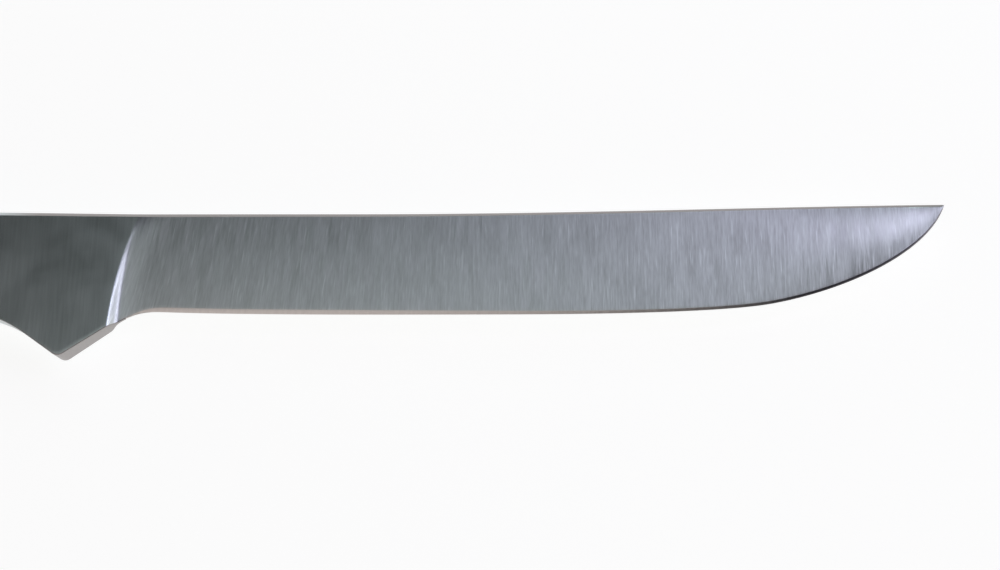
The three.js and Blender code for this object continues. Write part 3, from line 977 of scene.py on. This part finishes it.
# Softboxes, level and 1 m above the blade's middle: how far each reaches along X and along Y from there, in
# metres, and its radiance in red, green and blue.
SOFTBOX_HEIGHT = 1.0
SOFTBOXES = {
    "window": ((0.95, 2.4), (-0.2, 0.6), (2.6, 2.55, 3.15)),
    "window_edge": ((0.3, 0.8), (0.22, 0.38), (2.3, 2.2, 2.8)),
    "ceiling": ((-0.3, 0.28), (0.05, 0.2), (0.57, 0.645, 0.635)),
    "front_fill": ((-1.0, 0.09), (-1.6, 0.05), (0.60, 0.54, 0.52)),
    "front_low": ((-0.8, -0.1), (-2.6, -1.0), (0.30, 0.28, 0.27)),
    "back_fill": ((-0.05, 2.0), (0.6, 1.8), (0.92, 1.06, 1.12)),
}


def softboxes():
    """Level area lights whose energy gives each its radiance, whatever its size."""
    target = placed((TIP[0] / 2, EDGE_MIDDLE[1] / 2, 0))
    for name, (along_x, along_y, radiance) in SOFTBOXES.items():
        light = bpy.data.lights.new(name, "AREA")
        light.shape = "RECTANGLE"
        light.size = along_x[1] - along_x[0]
        light.size_y = along_y[1] - along_y[0]
        brightest = max(radiance)
        light.energy = brightest * math.pi * light.size * light.size_y
        light.color = [channel / brightest for channel in radiance]
        made = bpy.data.objects.new(name, light)
        made.location = Vector(target) + Vector((sum(along_x) / 2, sum(along_y) / 2, SOFTBOX_HEIGHT))
        bpy.context.scene.collection.objects.link(made)


# The horizon's glow fades out upwards, and has gone where the direction's Z is HORIZON_TOP.
HORIZON = (0.95, 0.95, 0.95)
ZENITH = (0.0, 0.0, 0.0)
HORIZON_TOP = 0.62


def surroundings():
    """A pale horizon under a dim ceiling."""
    world = bpy.data.worlds.new("studio")
    world.use_nodes = True
    nodes, links = world.node_tree.nodes, world.node_tree.links
    direction = nodes.new("ShaderNodeTexCoord").outputs["Generated"]
    split = nodes.new("ShaderNodeSeparateXYZ")
    links.new(direction, split.inputs["Vector"])
    height = nodes.new("ShaderNodeMapRange")
    height.interpolation_type = "SMOOTHSTEP"
    height.inputs["From Max"].default_value = HORIZON_TOP
    links.new(split.outputs["Z"], height.inputs["Value"])
    mix = nodes.new("ShaderNodeMix")
    mix.data_type = "RGBA"
    mix.inputs["A"].default_value = (*HORIZON, 1)
    mix.inputs["B"].default_value = (*ZENITH, 1)
    links.new(height.outputs["Result"], mix.inputs["Factor"])
    links.new(mix.outputs["Result"], nodes["Background"].inputs["Color"])
    bpy.context.scene.world = world


# The camera aims at a point of the drawing, from this many metres away.
CAMERA_TILT = math.radians(13.7)
CAMERA_DISTANCE = 0.28
CAMERA_LENS = 52.23
CAMERA_AIM = (74.3, -13.8, 0)
CAMERA_NEAR = 0.01


def camera():
    """Nearly straight above the blade, a little towards its edge, with the handle out of view."""
    data = bpy.data.cameras.new("camera")
    data.lens = CAMERA_LENS
    data.clip_start = CAMERA_NEAR
    made = bpy.data.objects.new("camera", data)
    back = Vector((0, -math.sin(CAMERA_TILT), math.cos(CAMERA_TILT)))
    made.location = Vector(placed(CAMERA_AIM)) + CAMERA_DISTANCE * back
    made.rotation_euler = (-back).to_track_quat("-Z", "Y").to_euler()
    bpy.context.scene.collection.objects.link(made)
    bpy.context.scene.camera = made


floor()
softboxes()
surroundings()
camera()
bpy.context.scene.view_settings.view_transform = "Standard"
